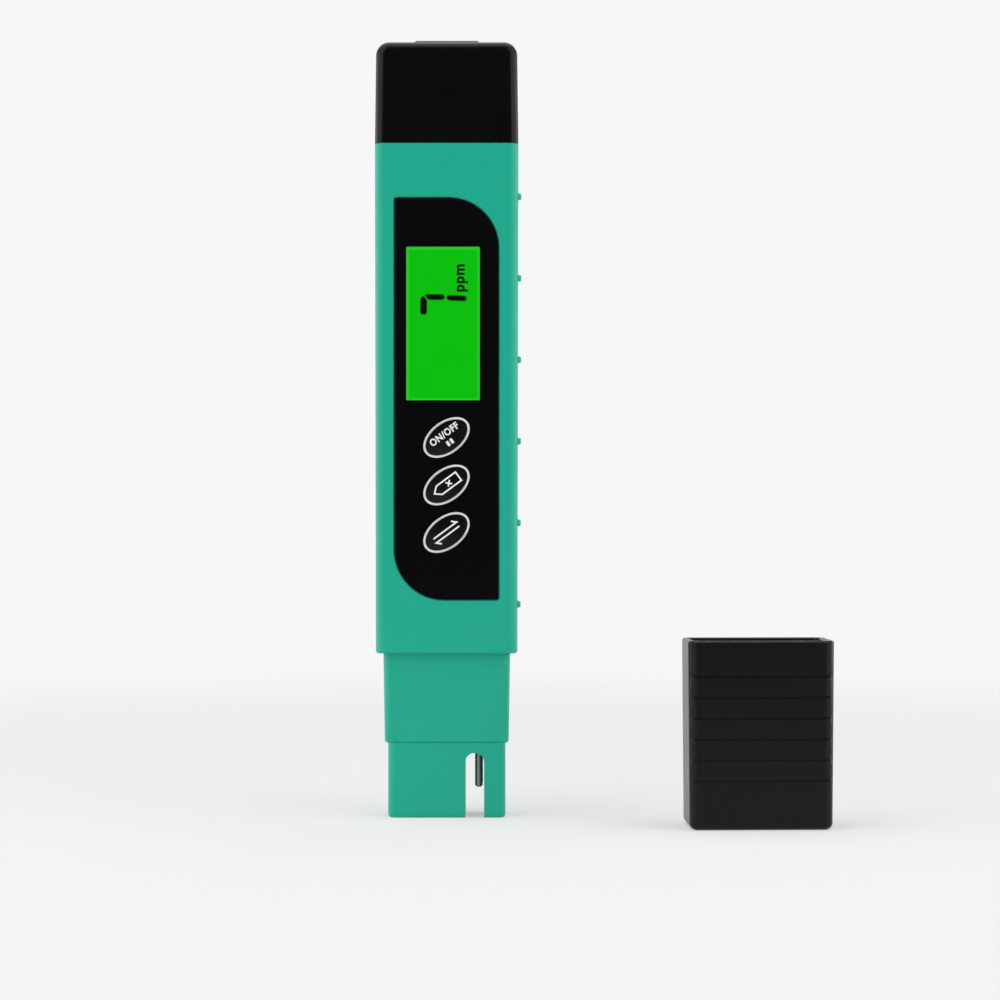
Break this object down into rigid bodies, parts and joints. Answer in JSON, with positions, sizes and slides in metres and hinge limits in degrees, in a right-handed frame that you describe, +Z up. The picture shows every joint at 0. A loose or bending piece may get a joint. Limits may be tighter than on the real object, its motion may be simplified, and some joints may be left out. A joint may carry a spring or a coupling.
{
  "type": "total dissolved solids meter",
  "caption": "Pen-shaped water purity meter with a lit display, oval keys, a clip on the battery cap and a probe cap standing open beside it.",
  "frame": {"origin": "middle of the flat end of the nose, on which the pen stands", "axes": "+Z up the pen towards the battery cap, -Y out of the display, +X to the reader's right"},
  "size_m": [0.0898, 0.0401, 0.1563],
  "materials": {
    "case_plastic": "satin",
    "cap_plastic": "satin",
    "fascia_gloss": "gloss",
    "clear_window": "clear",
    "key_black": "satin",
    "ring_silver": "satin",
    "display_glass": "clear",
    "polariser_film": "gloss",
    "light_guide_acrylic": "clear",
    "led_white": "gloss",
    "frame_white": "matt",
    "zebra_rubber": "matt",
    "board_green": "satin",
    "chip_black": "matt",
    "chip_ceramic": "matt",
    "nickel_steel": "satin",
    "leaf_bronze": "satin",
    "inner_plastic": "matt",
    "seal_rubber": "matt",
    "titanium": "satin",
    "glass_bead": "clear",
    "wire_red": "satin"
  },
  "bodies": {
    "meter": {"front_shell": "case_plastic", "rear_shell": "case_plastic", "fascia_panel": "fascia_gloss", "display_lens": "clear_window", "key_rings": "ring_silver", "switch_bodies": "inner_plastic", "front_polariser": "polariser_film", "lcd_front_glass": "display_glass", "lcd_rear_glass": "display_glass", "rear_polariser": "polariser_film", "light_guide": "light_guide_acrylic", "backlight_leds": "led_white", "lcd_frame": "frame_white", "zebra_strips": "zebra_rubber", "circuit_board": "board_green", "board_screws": "nickel_steel", "controller_chip": "chip_black", "amplifier_chip": "chip_black", "timing_crystal": "nickel_steel", "chip_capacitors": "chip_ceramic", "chip_resistors": "chip_black", "battery_holder": "inner_plastic", "lower_cell": "nickel_steel", "upper_cell": "nickel_steel", "lower_contact": "leaf_bronze", "upper_contact": "leaf_bronze", "cell_bridge": "leaf_bronze", "front_electrode": "titanium", "rear_electrode": "titanium", "probe_seal": "seal_rubber", "electrode_holder": "inner_plastic", "electrode_leads": "wire_red", "thermistor": "glass_bead", "thermistor_leads": "wire_red"},
    "power_key": {"power_key": "key_black", "power_plunger": "chip_black"},
    "clear_key": {"clear_key": "key_black", "clear_plunger": "chip_black"},
    "mode_key": {"mode_key": "key_black", "mode_plunger": "chip_black"},
    "battery_cap": {"battery_cap": "cap_plastic"},
    "probe_cap": {"probe_cap": "cap_plastic"}
  },
  "joints": [
    {"name": "power_press", "type": "slide", "parent": "meter", "child": "power_key", "axis": [0, 1, 0], "range_m": [0, 0.0003], "stiffness_N_per_m": 4000},
    {"name": "clear_press", "type": "slide", "parent": "meter", "child": "clear_key", "axis": [0, 1, 0], "range_m": [0, 0.0003], "stiffness_N_per_m": 4000},
    {"name": "mode_press", "type": "slide", "parent": "meter", "child": "mode_key", "axis": [0, 1, 0], "range_m": [0, 0.0003], "stiffness_N_per_m": 4000},
    {"name": "battery_cap_pull", "type": "slide", "parent": "meter", "child": "battery_cap", "axis": [0, 0, 1], "range_m": [0, 0.025]},
    {"name": "probe_cap_lift", "type": "slide", "parent": "meter", "child": "probe_cap", "axis": [0, 0, 1], "range_m": [0, 0.06]}
  ]
}
